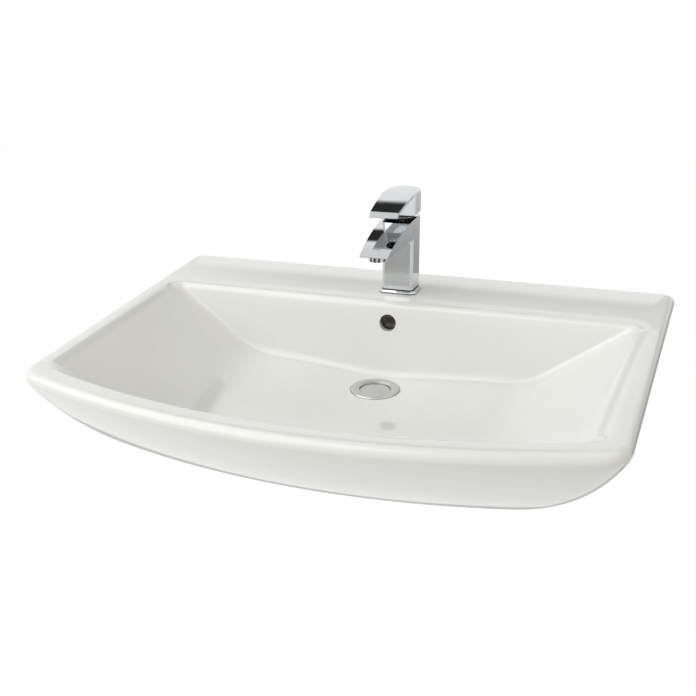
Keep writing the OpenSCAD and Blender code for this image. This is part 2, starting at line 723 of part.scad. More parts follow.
module lever() {
  color("silver") at_tap() difference() {
    intersection() {
      union() {
        intersection() {
          side_slab(paddle_line, 2 * lever_half + 2);
          translate([0, 0, lever_z0]) linear_extrude(height = lever_h + 1)
            blade_plan(lever_half, column_back_r, lever_reach + 1, lever_tip_w);
        }
        translate([0, 0, lever_z0]) linear_extrude(height = lever_h - 3)
          column_plan(lever_half, column_chamfer, column_back_r);
      }
      // The crown, a wide arc across the lever
      translate([0, lever_half + 1, lever_top_h - crown_r]) rotate([90, 0, 0])
        cylinder(r = crown_r, h = lever_half + lever_reach + 2, $fn = 360);
    }
    // Hollow underside round the boss for the stem
    difference() {
      translate([0, 0, lever_z0 - 1]) linear_extrude(height = lever_h - roof_t + 1)
        column_plan(lever_half - block_wall, column_chamfer - 1, column_back_r - block_wall);
      translate([0, cartridge_back, lever_z0 + 4]) cylinder(r = 7.5, h = lever_h);
      translate([-5, cartridge_back, lever_z0 + 4]) cube([10, lever_half, lever_h]);
    }
    // Socket for the stem
    translate([-stem_w / 2 - thread_gap, cartridge_back - stem_w / 2 - thread_gap, lever_z0 - 1])
      cube([stem_w + 2 * thread_gap, stem_w + 2 * thread_gap, stem_top - lever_z0 + 1.1]);
    // Clearance below the back edge, for the lift
    translate([-lever_half - 1, lever_half - 2, lever_z0]) rotate([45, 0, 0]) translate([0, 0, -5])
      cube([2 * lever_half + 2, 10, 5]);
    // Screw from the back, and its cap
    translate([0, cartridge_back + stem_w / 2 - 1, screw_h]) rotate([-90, 0, 0])
      cylinder(d = screw_d + 2 * thread_gap, h = lever_half);
    translate([0, lever_half - screw_cap_t, screw_h]) rotate([-90, 0, 0])
      cylinder(d = screw_d + 2.1, h = 10);
    // Seats of the two index marks
    for (s = [-1, 1]) translate([s * dot_x, dot_y, dot_h - dot_t]) cylinder(d = dot_d + 2 * thread_gap, h = 5);
  }
}

dot_x = 13;
dot_y = 8;
// The marks lie on the crown, which is lower than the blade's line there
dot_h = lever_top_h - crown_r + sqrt(pow(crown_r, 2) - pow(dot_x + dot_d / 2, 2));

module index_dots() {
  color("gray") at_tap() for (s = [-1, 1])
    translate([s * dot_x, dot_y, dot_h - dot_t]) cylinder(d = dot_d, h = dot_t - 0.1);
}

module lever_screw() {
  color("gray") at_tap() translate([0, cartridge_back + stem_w / 2 + thread_gap, screw_h]) rotate([-90, 0, 0])
    difference() {
      cylinder(d = screw_d, h = screw_l);
      translate([0, 0, screw_l - 2.5]) cylinder(d = 2.9, h = 5, $fn = 6);
    }
}

module screw_cap() {
  color("silver") at_tap() translate([0, lever_half - screw_cap_t, screw_h]) rotate([-90, 0, 0])
    cylinder(d = screw_d + 2, h = screw_cap_t - 0.2);
}

// Aerator

aerator_wall = 1.6;
seal_h = 1;

module aerator_housing() {
  color("silver") at_tap() translate([0, -aerator_reach, aerator_z0]) difference() {
    cylinder(d = aerator_d, h = aerator_bore_top - seal_h - aerator_z0);
    translate([0, 0, -1]) cylinder(d = aerator_d - 2 * aerator_wall - 2, h = 30);
    translate([0, 0, 2]) cylinder(d = aerator_d - 2 * aerator_wall, h = 30);
  }
}

module aerator_insert() {
  color("lightgray") at_tap() translate([0, -aerator_reach, aerator_z0 + 2]) difference() {
    cylinder(d = aerator_d - 2 * aerator_wall - 2 * thread_gap,
      h = aerator_bore_top - seal_h - 0.2 - aerator_z0 - 2);
    for (x = [-2 : 2], y = [-2 : 2]) if (abs(x) + abs(y) < 4)
      translate([x * 2.9, y * 2.9, -1]) cube([2.2, 2.2, 4], center = true);
  }
}

module aerator_seal() {
  color("black") at_tap() translate([0, -aerator_reach, aerator_bore_top - seal_h]) difference() {
    cylinder(d = aerator_d, h = seal_h);
    translate([0, 0, -1]) cylinder(d = aerator_d - 5, h = seal_h + 2);
  }
}

// Waste, with z = 0 on the bowl's seat

flange_seat = 1.5;
foam_t = 1;
flange_under = foam_t - flange_seat;
flange_top = flange_under + 2.5;
waste_r = waste_tube_d / 2;
waste_in_r = waste_r - waste_tube_wall;
throat_r = plug_d / 2 + 0.5;
shoulder_z = flange_top - 7;
click_r = 8;
click_z1 = shoulder_z - 14 - plug_travel;
click_l = 34;
spider_z = click_z1 - 20;
window_z = -duct_bottom + waste_depth;

module waste_body() {
  color("silver") at_waste() difference() {
    union() {
      rotate_extrude() polygon([
        [throat_r, flange_top - 1.5], [throat_r + 3, flange_top - 0.3], [throat_r + 4.5, flange_top],
        [flange_d / 2 - 2, flange_top], [flange_d / 2 - 0.6, flange_top - 0.6],
        [flange_d / 2, flange_top - 1.6], [flange_d / 2, flange_under],
        [waste_r, flange_under], [waste_r, flange_under - waste_tube_l],
        [waste_in_r, flange_under - waste_tube_l], [waste_in_r, shoulder_z], [throat_r, shoulder_z]]);
      // Three arms that hold the click cartridge
      intersection() {
        translate([0, 0, spider_z]) cylinder(r = waste_in_r + 1, h = 6);
        for (a = [90 : 120 : 330]) rotate([0, 0, a]) translate([0, -1.5, spider_z]) cube([waste_r, 3, 6]);
      }
      translate([0, 0, spider_z]) cylinder(r = click_r + 2.5, h = 6);
    }
    translate([0, 0, spider_z - 1]) cylinder(r = click_r + thread_gap, h = 8);
    // Groove between the nut's thread and the outlet's
    translate([0, 0, nut_bottom - 2.5]) difference() {
      cylinder(r = waste_r + 1, h = 2.2);
      translate([0, 0, -1]) cylinder(r = waste_r - 0.8, h = 5);
    }
    // Two windows that take in the overflow water
    for (s = [-1, 1]) translate([s * waste_r - 5, -6, window_z - 7]) cube([10, 12, 14]);
  }
}

module flange_gasket() {
  color("white") at_waste() translate([0, 0, -flange_seat]) difference() {
    cylinder(r = flange_d / 2 - 1, h = foam_t);
    translate([0, 0, -1]) cylinder(r = waste_r + 0.5, h = foam_t + 2);
  }
}

cone_h = 6;
slip_h = 2;
nut_l = 10;
nut_bottom = -collar_h - cone_h - slip_h - nut_l;

module cone_washer() {
  color("black") at_waste() translate([0, 0, -collar_h - cone_h]) rotate_extrude()
    polygon([[waste_r + 0.2, 0], [collar_r - 3, 0], [collar_r - 5, cone_h], [waste_r + 0.2, cone_h]]);
}

module slip_washer() {
  color("white") at_waste() translate([0, 0, -collar_h - cone_h - slip_h]) difference() {
    cylinder(r = collar_r - 3, h = slip_h);
    translate([0, 0, -1]) cylinder(r = waste_r + 0.2, h = slip_h + 2);
  }
}

module waste_nut() {
  color("silver") at_waste() translate([0, 0, nut_bottom]) difference() {
    union() {
      cylinder(r = collar_r - 6, h = nut_l);
      for (a = [0 : 60 : 300]) rotate([0, 0, a]) translate([collar_r - 8, -3, 0]) cube([6, 6, nut_l]);
    }
    translate([0, 0, -1]) cylinder(r = waste_r + thread_gap, h = nut_l + 2);
  }
}

plunger_r = 3.5;
module click_cartridge() {
  color("white") at_waste() difference() {
    union() {
      translate([0, 0, click_z1 - click_l]) cylinder(r = click_r - 1, h = click_l);
      translate([0, 0, spider_z]) cylinder(r = click_r, h = 6);
    }
    translate([0, 0, click_z1 - click_l + 4]) cylinder(r = plunger_r + thread_gap, h = click_l);
  }
}

plug_seal_t = 1.6;
plug_z0 = shoulder_z + plug_seal_t + 0.3;
plug_t = flange_top - 1.6 - plug_z0;
module click_plunger() {
  color("lightgray") at_waste() translate([0, 0, click_z1 - 20]) cylinder(r = plunger_r, h = plug_z0 - click_z1 + 20);
}

// Cap with a slightly domed top
dome_h = 1.2;
module plug_cap() {
  color("silver") at_waste() translate([0, 0, plug_z0]) rotate_extrude()
    polygon(concat([[0, 0], [plug_d / 2 - 0.4, 0], [plug_d / 2, 0.6], [plug_d / 2, plug_t - dome_h - 0.4]],
      [for (i = [0 : 8]) let (t = 1 - i / 8) [(plug_d / 2 - 0.5) * t, plug_t - dome_h * t * t]]));
}

module plug_seal() {
  color("black") at_waste() translate([0, 0, plug_z0 - plug_seal_t]) difference() {
    cylinder(r = plug_d / 2 - 0.2, h = plug_seal_t);
    translate([0, 0, -1]) cylinder(r = plunger_r + 0.1, h = plug_seal_t + 2);
  }
}

basin();
tap_body();
foot_seal();
tap_base_ring();
base_gasket();
mounting_stud();
clamp_rubber();
clamp_plate();
stud_nut();
cartridge_seals();
cartridge_base();
fixed_disc();
moving_disc();
disc_carrier();
cartridge_housing();
cartridge_turret();
turret_pin();
valve_stem();
cartridge_nut();
neck_ring();
lever();
lever_screw();
screw_cap();
index_dots();
aerator_housing();
aerator_insert();
aerator_seal();
waste_body();
flange_gasket();
cone_washer();
slip_washer();
waste_nut();
click_cartridge();
click_plunger();
plug_cap();
plug_seal();
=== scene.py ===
# %% [markdown]
# A wall-hung washbasin with a bowed front, a single-lever mixer and a push-button waste.
# The solids come first, as a fixed frame. What is made here is their finish: the soft,
# glassy surface of the china, the sharp but never knife-sharp edges of the plated
# metal, and the light that both of them need, because glaze and chrome show little
# but what stands around them.

# %% Frame and tools
import json
import math

import bpy
import numpy as np
from mathutils import Matrix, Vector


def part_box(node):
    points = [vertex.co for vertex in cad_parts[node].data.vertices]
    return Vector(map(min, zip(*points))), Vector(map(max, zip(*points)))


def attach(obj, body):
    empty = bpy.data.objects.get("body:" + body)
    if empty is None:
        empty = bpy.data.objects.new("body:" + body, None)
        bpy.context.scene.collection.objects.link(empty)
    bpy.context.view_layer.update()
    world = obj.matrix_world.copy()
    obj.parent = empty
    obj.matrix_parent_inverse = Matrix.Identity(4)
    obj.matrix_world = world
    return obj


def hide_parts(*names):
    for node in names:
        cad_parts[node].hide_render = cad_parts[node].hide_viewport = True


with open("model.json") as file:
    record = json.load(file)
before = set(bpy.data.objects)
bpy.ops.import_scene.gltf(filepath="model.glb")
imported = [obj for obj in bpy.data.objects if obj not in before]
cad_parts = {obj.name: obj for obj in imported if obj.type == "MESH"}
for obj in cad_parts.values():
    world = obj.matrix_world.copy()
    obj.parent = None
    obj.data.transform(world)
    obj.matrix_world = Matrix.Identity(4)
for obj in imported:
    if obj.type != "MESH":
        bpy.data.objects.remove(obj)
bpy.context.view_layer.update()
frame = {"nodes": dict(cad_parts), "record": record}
nodes = frame["nodes"]
# The outlines are worked out in millimetres, with the rim at height 0, and moved up by RIM_Z
MM, RIM_Z = 0.001, 75.0
print("frame:", len(nodes), "solids")


# %% [markdown]
# Shader maths could be wired by hand, one Math node at a time, but it reads best as plain
# arithmetic. This small class wraps a socket, so that `0.3 + 0.1 * noise` writes its own
# Math nodes. Colours go through Mix nodes, because a Math node would turn them grey.

# %% Shader arithmetic
class Shade:
    """A socket in a node tree, with arithmetic that adds Math nodes."""

    def __init__(self, tree, socket):
        self.tree, self.socket = tree, socket

    def math(self, operation, other=0.0):
        return node_of(self.tree, "ShaderNodeMath", {"operation": operation}, {0: self, 1: other})

    def __add__(self, other): return self.math("ADD", other)
    def __sub__(self, other): return self.math("SUBTRACT", other)
    def __mul__(self, other): return self.math("MULTIPLY", other)
    def __pow__(self, other): return self.math("POWER", other)
    def __rsub__(self, other): return constant_minus(self, other)
    __radd__ = __add__
    __rmul__ = __mul__

    def clamp(self):
        """The value itself between 0 and 1, and the nearer of the two outside them."""
        return self.math("MAXIMUM", 0.0).math("MINIMUM", 1.0)

    def ramp(self, low, high):
        """0 below low, 1 above high, with soft ends."""
        return node_of(self.tree, "ShaderNodeMapRange", {"interpolation_type": "SMOOTHSTEP"},
                       {"Value": self, "From Min": low, "From Max": high})


def constant_minus(shade, number):
    """number - shade"""
    return node_of(shade.tree, "ShaderNodeMath", {"operation": "SUBTRACT"}, {0: number, 1: shade})


def node_of(tree, kind, settings=None, inputs=None, output=0):
    """Adds a node, sets it up, feeds its inputs with values or sockets, and returns one output."""
    node = tree.nodes.new(kind)
    for name, value in (settings or {}).items():
        setattr(node, name, value)
    for name, value in (inputs or {}).items():
        socket = node.inputs[name]
        if isinstance(value, Shade):
            tree.links.new(value.socket, socket)
        else:
            socket.default_value = value
    return Shade(tree, node.outputs[output])


def axes_of(tree, vector):
    """The X, Y and Z of a vector as three values."""
    split = node_of(tree, "ShaderNodeSeparateXYZ", {}, {"Vector": vector}).socket.node
    return [Shade(tree, split.outputs[axis]) for axis in "XYZ"]


def object_place(tree):
    """The point's place in its object's own frame, which is the whole part's frame here."""
    return node_of(tree, "ShaderNodeTexCoord", output=3)


def noise(tree, at, scale, detail=2.0, roughness=0.5):
    """Cloudy values about 0.5, with scale clouds to the metre and finer ones on top."""
    return node_of(tree, "ShaderNodeTexNoise", {},
                   {"Vector": at, "Scale": scale, "Detail": detail, "Roughness": roughness})


def mix_colour(tree, factor, a, b):
    """(1 - factor) * a + factor * b, for colours."""
    node = tree.nodes.new("ShaderNodeMix")
    node.data_type = "RGBA"
    for socket, value in ((node.inputs[0], factor), (node.inputs[6], a), (node.inputs[7], b)):
        if isinstance(value, Shade):
            tree.links.new(value.socket, socket)
        else:
            socket.default_value = value if isinstance(value, float) else (*value, 1.0)
    return Shade(tree, node.outputs[2])


def new_material(name, base, **numbers):
    """A material with a Principled shader; numbers go straight to its own sockets."""
    material = bpy.data.materials.new(name)
    material.use_nodes = True
    tree = material.node_tree
    shader = tree.nodes["Principled BSDF"]
    shader.inputs["Base Color"].default_value = (*base, 1.0)
    for key, value in numbers.items():
        shader.inputs[key.replace("_", " ")].default_value = value
    return material, tree, shader, object_place(tree)


def feed(tree, shader, socket, value):
    """Links a value to one of the shader's sockets."""
    tree.links.new(value.socket, shader.inputs[socket])


def bump(tree, shader, height, distance, strength=1.0):
    """Tilts the normals as if the surface rose by height * distance, in metres."""
    normal = node_of(tree, "ShaderNodeBump", {},
                     {"Height": height, "Distance": distance, "Strength": strength})
    tree.links.new(normal.socket, shader.inputs["Normal"])


# %% [markdown]
# The glaze of a china basin is a layer of clear glass about half a millimetre thick on a
# white body. It is made here as a rough white base under a smooth clear coat. The coat
# is never quite flat: it ran in the kiln, so its reflections waver a little. A faint
# drift of the body's colour keeps it from looking like plastic. Inside the overflow the
# glaze ends a few millimetres in. There the colour is painted shade: a little grey at
# the mouth, then near black, and brownish again with limescale on the duct's far side.
# A second material would need its own faces, so the place of a point decides instead.

# %% Glazed china
china, tree, shader, at = new_material("glazed_china", (0.825, 0.825, 0.80), Roughness=0.32,
                                       Coat_Weight=1.0, Coat_Roughness=0.035, Coat_IOR=1.52)
drift = noise(tree, at, 5.0, 3.0).ramp(0.35, 0.65)
glazed = mix_colour(tree, drift, (0.808, 0.808, 0.784), (0.843, 0.841, 0.820))
# In metres: how far the bowl's back wall stands off at the rim and how much it leans, the
# height of the overflow's middle, and where its edge and the far side of its duct lie
WALL_OFF, WALL_LEAN, OVERFLOW_UP = 0.140, 0.1753, 0.048
OVERFLOW_EDGE, DUCT_END = (0.0118, 0.0122), (-0.112, -0.110)
across, along, up = axes_of(tree, at)
depth = along + WALL_OFF + WALL_LEAN * (RIM_Z * MM - up)
aside = (across * across + (up - OVERFLOW_UP) * (up - OVERFLOW_UP)) ** 0.5
inside = (1.0 - aside.ramp(*OVERFLOW_EDGE)) * (1.0 - along.ramp(*DUCT_END))
# Painted shade in the overflow: its mouth a little grey, near black a few millimetres in, then brownish
# with limescale deeper on the duct's far side
dark = inside * depth.ramp(0.0075, 0.0095)
painted_shade_then_limescale = mix_colour(tree, depth.ramp(0.010, 0.018), (0.012, 0.009, 0.007), (0.30, 0.26, 0.23))
shadowed = mix_colour(tree, 0.2 * inside * depth.ramp(0.0, 0.003), glazed, (0.2, 0.19, 0.17))
feed(tree, shader, "Base Color", mix_colour(tree, dark, shadowed, painted_shade_then_limescale))
feed(tree, shader, "Coat Weight", 1.0 - 0.9 * dark)
feed(tree, shader, "Roughness", 0.28 + 0.10 * noise(tree, at, 38.0))
bump(tree, shader, noise(tree, at, 14.0, 1.0) + 0.12 * noise(tree, at, 150.0, 1.0), 0.0006, 0.35)
print(china.name, "has", len(tree.nodes), "shader nodes")

# %% [markdown]
# Chrome plating is a mirror over polished brass. What breaks the mirror in use is thin:
# wiping marks and the dried rims of water drops. They change the roughness and hardly
# the colour, so that is where the noise goes. The bump is a ripple left by polishing. The
# waste has the same plating in another, worn state, and the aerator's collar the same
# plating with painted shade for each groove, so both get materials of their own.

# %% Chrome plating
PLATING = (0.66, 0.675, 0.69)
chrome, tree, shader, at = new_material("chrome_plate", PLATING, Metallic=1.0, Roughness=0.07)
wiped = noise(tree, at, 60.0, 4.0, 0.6).ramp(0.45, 0.75)
drops = node_of(tree, "ShaderNodeTexVoronoi", {"feature": "DISTANCE_TO_EDGE"},
                {"Vector": at, "Scale": 190.0})
dried = 1.0 - drops.ramp(0.0, 0.05)
feed(tree, shader, "Roughness", 0.045 + 0.05 * wiped + 0.03 * dried * wiped)
feed(tree, shader, "Base Color", mix_colour(tree, wiped, (0.67, 0.685, 0.70), (0.63, 0.645, 0.655)))
bump(tree, shader, noise(tree, at, 45.0, 1.0), 0.0002, 0.25)

# The aerator's collar has a groove pattern for the fingers, which is not modelled: its dark stripes are
# painted shade and painted dark reflections
painted_grooves_chrome, tree, shader, at = new_material("chrome_with_painted_grooves", PLATING, Metallic=1.0, Roughness=0.10)
painted_groove_shade = node_of(tree, "ShaderNodeTexWave", {"wave_type": "BANDS", "bands_direction": "X"},
                  {"Vector": at, "Scale": 62.0, "Distortion": 1.2, "Detail Scale": 90.0}).ramp(0.25, 0.6)
# Painted shade: the stripes darken the collar's colour where the shade of each groove would fall
feed(tree, shader, "Base Color", mix_colour(tree, painted_groove_shade, (0.045, 0.045, 0.048), (0.70, 0.71, 0.72)))

# The waste lies under water and cleaning powder, so its plating is dull all over
worn, tree, shader, at = new_material("worn_chrome", (0.60, 0.605, 0.595), Metallic=1.0, Roughness=0.3)
feed(tree, shader, "Roughness", 0.24 + 0.10 * noise(tree, at, 60.0, 4.0, 0.6))
print("platings:", chrome.name, painted_grooves_chrome.name, worn.name)

# %% [markdown]
# Behind the polished parts are plainer metals, zinc-plated steel and turned brass. Each
# gets the mark of how it was made: a cloudy zinc spangle on the steel, and on the brass
# tarnish over fine turning rings. The rings are relief, as they are too fine for a mesh.

# %% Plain metals
steel, tree, shader, at = new_material("zinc_steel", (0.56, 0.57, 0.58), Metallic=1.0, Roughness=0.35)
cloud = noise(tree, at, 90.0, 4.0)
feed(tree, shader, "Roughness", 0.26 + 0.22 * cloud)
feed(tree, shader, "Base Color", mix_colour(tree, cloud, (0.50, 0.51, 0.53), (0.64, 0.64, 0.62)))
bump(tree, shader, noise(tree, at, 900.0, 2.0), 0.0001, 0.4)

brass, tree, shader, at = new_material("plain_brass", (0.70, 0.52, 0.24), Metallic=1.0, Roughness=0.3)
tarnish = noise(tree, at, 70.0, 5.0).ramp(0.4, 0.8)
feed(tree, shader, "Roughness", 0.22 + 0.22 * tarnish)
feed(tree, shader, "Base Color", mix_colour(tree, tarnish, (0.74, 0.56, 0.27), (0.48, 0.33, 0.15)))
turned = node_of(tree, "ShaderNodeTexWave", {"wave_type": "BANDS", "bands_direction": "Z"},
                 {"Vector": at, "Scale": 700.0, "Distortion": 0.4})
bump(tree, shader, turned, 0.00008, 0.5)
print("plain metals:", steel.name, brass.name)

# %% [markdown]
# Seals are black rubber, which gathers dust. The cartridge and the mechanism of the waste
# are moulded, and a moulding has a fine grain from its tool. One function makes all
# mouldings, because they differ only in their colours, their grain and their gloss.

# %% Rubber and plastics
rubber, tree, shader, at = new_material("black_rubber", (0.028, 0.028, 0.03), Roughness=0.65)
dust = noise(tree, at, 240.0, 4.0)
feed(tree, shader, "Base Color",
     mix_colour(tree, dust.ramp(0.5, 0.8), (0.022, 0.022, 0.024), (0.07, 0.07, 0.068)))
feed(tree, shader, "Roughness", 0.5 + 0.35 * dust)
bump(tree, shader, dust, 0.0001, 0.5)


def moulding(name, dark, light, grain, rough):
    """Moulded plastic or foam: a fine grain that shows in the colour, gloss and relief."""
    material, tree, shader, at = new_material(name, light, Roughness=rough)
    texture = noise(tree, at, grain, 3.0)
    feed(tree, shader, "Base Color", mix_colour(tree, texture, dark, light))
    feed(tree, shader, "Roughness", rough - 0.08 + 0.16 * texture)
    bump(tree, shader, texture, 0.00012, 0.4)
    return material


white_plastic = moulding("white_plastic", (0.74, 0.74, 0.72), (0.82, 0.82, 0.80), 420.0, 0.42)
grey_plastic = moulding("grey_plastic", (0.36, 0.37, 0.38), (0.46, 0.47, 0.48), 420.0, 0.42)
black_plastic = moulding("black_plastic", (0.016, 0.016, 0.017), (0.028, 0.028, 0.03), 420.0, 0.45)
white_foam = moulding("white_foam", (0.62, 0.62, 0.59), (0.80, 0.80, 0.77), 1500.0, 0.85)
disc_ceramic = moulding("disc_ceramic", (0.80, 0.77, 0.69), (0.87, 0.84, 0.77), 260.0, 0.18)
mark_enamel = moulding("mark_enamel", (0.22, 0.23, 0.25), (0.30, 0.31, 0.33), 900.0, 0.30)
# Painted shade for the lever's hollow: a rough casting coloured near black
painted_shade_casting = moulding("painted_shade_casting", (0.030, 0.030, 0.032), (0.055, 0.055, 0.058), 300.0, 0.65)

# %% [markdown]
# Each solid takes the finish of its slot in the record. The waste gets a worn state of the plating
# instead, and the aerator's collar plating with painted groove shade, which the slot doesn't tell apart.

# %% Finish of each solid
FINISHES = {"glazed_china": china, "chrome_plate": chrome, "zinc_steel": steel, "plain_brass": brass,
            "black_rubber": rubber, "white_foam": white_foam, "white_plastic": white_plastic,
            "grey_plastic": grey_plastic, "black_plastic": black_plastic, "disc_ceramic": disc_ceramic,
            "mark_enamel": mark_enamel}
OWN_WEAR_AND_PAINTED_SHADE = {"waste_body": worn, "plug_cap": worn, "aerator_housing": painted_grooves_chrome}
slot_of = {part["node"]: part["material_slot"] for part in frame["record"]["subparts"]}
body_of = {node: body for body, held in frame["record"]["behaviour"]["bodies"].items() for node in held}
for name, part in nodes.items():
    part.data.materials.clear()
    part.data.materials.append(OWN_WEAR_AND_PAINTED_SHADE.get(name, FINISHES[slot_of[name]]))
print("finishes:", ", ".join(FINISHES))


# %% [markdown]
# These helpers turn arrays into pieces. A grid of points becomes a skin of quads, closed
# round and capped at its ends. Sharp edges are marked by angle, so that a rounding
# shades softly and an edge stays an edge. A Spin or a Screw modifier could turn a profile
# as well, but an array keeps the winding and the number of points in hand.

# %% From arrays to pieces
def mesh_piece(name, points, faces, finish, body):
    """A mesh from points, (count, 3) in metres, and faces, a list of index arrays with equal
    rows in each. With a body it becomes a piece of the part, which moves with that body."""
    mesh = bpy.data.meshes.new(name)
    loops = np.concatenate([np.asarray(f).ravel() for f in faces])
    sizes = np.concatenate([np.full(len(f), np.asarray(f).shape[1]) for f in faces])
    starts = np.concatenate([[0], np.cumsum(sizes)[:-1]])
    mesh.vertices.add(len(points))
    mesh.vertices.foreach_set("co", np.asarray(points, np.float32).ravel())
    mesh.loops.add(len(loops))
    mesh.loops.foreach_set("vertex_index", loops.astype(np.int32))
    mesh.polygons.add(len(sizes))
    mesh.polygons.foreach_set("loop_start", starts.astype(np.int32))
    mesh.update(calc_edges=True)
    mesh.validate()
    piece = bpy.data.objects.new(name, mesh)
    bpy.context.scene.collection.objects.link(piece)
    if finish:
        mesh.materials.append(FINISHES[finish])
    if body:
        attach(piece, body)
    return piece


def skin_faces(rows, columns):
    """Quads of a grid whose rows are closed rings, wound so that they face out when the
    rings run clockwise seen from above and the rows go from below to above."""
    i, j = np.meshgrid(np.arange(rows - 1), np.arange(columns), indexing="ij")
    k = (j + 1) % columns
    near, far = i * columns, (i + 1) * columns
    return np.stack([near + j, far + j, far + k, near + k], -1).reshape(-1, 4)


def closed_skin(name, grid, finish, body):
    """A stack of rings, (rows, columns, 3), closed at both ends by fans."""
    rows, columns = grid.shape[:2]
    middles = grid[[0, -1]].mean(axis=1)
    points = np.concatenate([grid.reshape(-1, 3), middles])
    j = np.arange(columns)
    k = (j + 1) % columns
    last = (rows - 1) * columns
    first_fan = np.stack([np.full(columns, rows * columns), j, k], -1)
    last_fan = np.stack([np.full(columns, rows * columns + 1), last + k, last + j], -1)
    return mesh_piece(name, points, [skin_faces(rows, columns), first_fan, last_fan], finish, body)


def soften(piece, angle=30.0):
    """Smooth shading, with the edges sharper than angle kept sharp."""
    piece.data.shade_smooth()
    piece.data.set_sharp_from_angle(angle=math.radians(angle))


def settle(piece):
    """Applies the piece's modifiers, so that its mesh is what is seen."""
    mesh = bpy.data.meshes.new_from_object(piece.evaluated_get(bpy.context.evaluated_depsgraph_get()))
    old, name = piece.data, piece.data.name
    piece.modifiers.clear()
    piece.data = mesh
    bpy.data.meshes.remove(old)
    mesh.name = name


def lathe(profile, middle, axis=2, sides=64):
    """A profile of (radius, height) turned round an axis through middle, as a stack of rings:
    each point lies at radius * (cos, sin) of its angle, across the axis."""
    profile = np.asarray(profile, float)
    turn = -np.linspace(0.0, 2.0 * np.pi, sides, endpoint=False)
    grid = np.zeros((len(profile), sides, 3))
    across, along = [(1, 2), (2, 0), (0, 1)][axis], axis
    grid[..., across[0]] = profile[:, :1] * np.cos(turn)
    grid[..., across[1]] = profile[:, :1] * np.sin(turn)
    grid[..., along] = profile[:, 1:]
    return grid + np.asarray(middle, float)


# %% [markdown]
# The basin is one casting, and all of its outlines belong to one family: a straight back
# on the wall, two sides that taper towards the front, a bowed front and four round
# corners. A ring of that family is worked out from its half width, back, front, bow and
# corner radii. The hull, the rim, the walls of the bowl and its floor are then a
# stack of such rings, with depths that follow a bent section outside and a slope with
# rounded ends inside.

# %% Outlines of the basin
BASIN_W, BASIN_D, TAPER, BOW_R = 700.0, 535.0, 0.086, 820.0
BACK_CORNER_R, FRONT_CORNER_R, RIM_EDGE_R = 12.0, 32.0, 9.0
STEPS = {"back": 36, "back_corner": 10, "side": 36, "front_corner": 16, "front": 44}


def rings(half_w, back, depth, bow_r, back_r, front_r, below):
    """Rings of the outline's family. Every argument is an array with one value a ring.
    The back corner's circle touches the back and the tapering side, and the front
    corner's circle touches the side and the bow; the rest joins their ends."""
    half_w, back, depth, bow_r, back_r, front_r = (
        np.asarray(v, float).reshape(-1, 1) * np.ones((len(np.atleast_1d(half_w)), 1))
        for v in (half_w, back, depth, bow_r, back_r, front_r))
    slant, tilt = math.hypot(1.0, TAPER), math.atan(TAPER)
    bt = back + back_r
    bx = half_w - TAPER * bt - back_r * slant
    reach, bow_mid = half_w - front_r * slant, depth - bow_r
    p = reach * TAPER + bow_mid
    q = reach ** 2 + bow_mid ** 2 - (bow_r - front_r) ** 2
    ft = (p + np.sqrt(p * p - slant ** 2 * q)) / slant ** 2
    fx = reach - TAPER * ft
    bow_angle = np.arctan2(ft - bow_mid, fx)

    def steps(key, closed=False):
        return np.linspace(0.0, 1.0, STEPS[key] + closed, endpoint=closed)[None, :]

    def arc(x, t, r, start, end, s):
        a = start + (end - start) * s
        return np.stack([x + r * np.cos(a), t + r * np.sin(a)], -1)

    s = steps("back")
    parts = [np.stack([bx * s, back + 0 * s], -1),
             arc(bx, bt, back_r, -np.pi / 2, tilt, steps("back_corner"))]
    side_a = np.stack([bx + back_r * math.cos(tilt), bt + back_r * math.sin(tilt)], -1)
    side_b = np.stack([fx + front_r * math.cos(tilt), ft + front_r * math.sin(tilt)], -1)
    parts.append(side_a + (side_b - side_a) * steps("side")[..., None])
    parts.append(arc(fx, ft, front_r, tilt, bow_angle, steps("front_corner")))
    parts.append(arc(0.0, bow_mid, bow_r, bow_angle, np.pi / 2, steps("front", True)))
    right = np.concatenate(parts, axis=1)
    whole = np.concatenate([right, right[:, -2:0:-1] * [-1.0, 1.0]], axis=1)
    z = np.asarray(below, float)
    z = z[:, None] * np.ones(whole.shape[1]) if z.ndim == 1 else z
    return np.stack([whole[..., 0], -whole[..., 1], -z], -1)


def bend(a, b, c, t):
    """A curve from a towards b and then to c."""
    return (1 - t) ** 2 * a + 2 * t * (1 - t) * b + t ** 2 * c


# %% [markdown]
# Outside, the section leaves the rim upright and swings under the bowl. Two powers of
# the cosine and one of the sine of a running angle give that swing. They were chosen so
# that the underside's outline agrees with the photographed one.

# %% Hull and rim
HULL_H, SIDE_IN, FRONT_IN, HULL_CORNER_R = 145.0, 124.0, 211.0, 90.0
SIDE_BEND, FRONT_BEND, DOWN_BEND = 1.14, 1.0, 1.75
# The hull starts this far below the rim, and the back edge's rounding is this much flatter
HULL_TOP, BACK_EDGE = RIM_EDGE_R + 1, 0.4
angle = np.radians(np.linspace(90.0, 0.0, 45))
run = 1.0 - np.cos(angle).clip(0) ** SIDE_BEND
front_run = 1.0 - np.cos(angle).clip(0) ** FRONT_BEND
fall = np.sin(angle) ** DOWN_BEND
hull = rings(BASIN_W / 2 - SIDE_IN * run, 0.0, BASIN_D - FRONT_IN * front_run, BOW_R, BACK_CORNER_R,
             FRONT_CORNER_R + (HULL_CORNER_R - FRONT_CORNER_R) * run,
             HULL_TOP + (HULL_H - HULL_TOP) * fall)
angle = np.radians(np.linspace(0.0, 90.0, 10))
inset = RIM_EDGE_R * (1.0 - np.cos(angle))
rim = rings(BASIN_W / 2 - inset, inset * BACK_EDGE, BASIN_D - inset, BOW_R - inset,
            BACK_CORNER_R - inset * BACK_EDGE, FRONT_CORNER_R - inset, RIM_EDGE_R * (1.0 - np.sin(angle)))
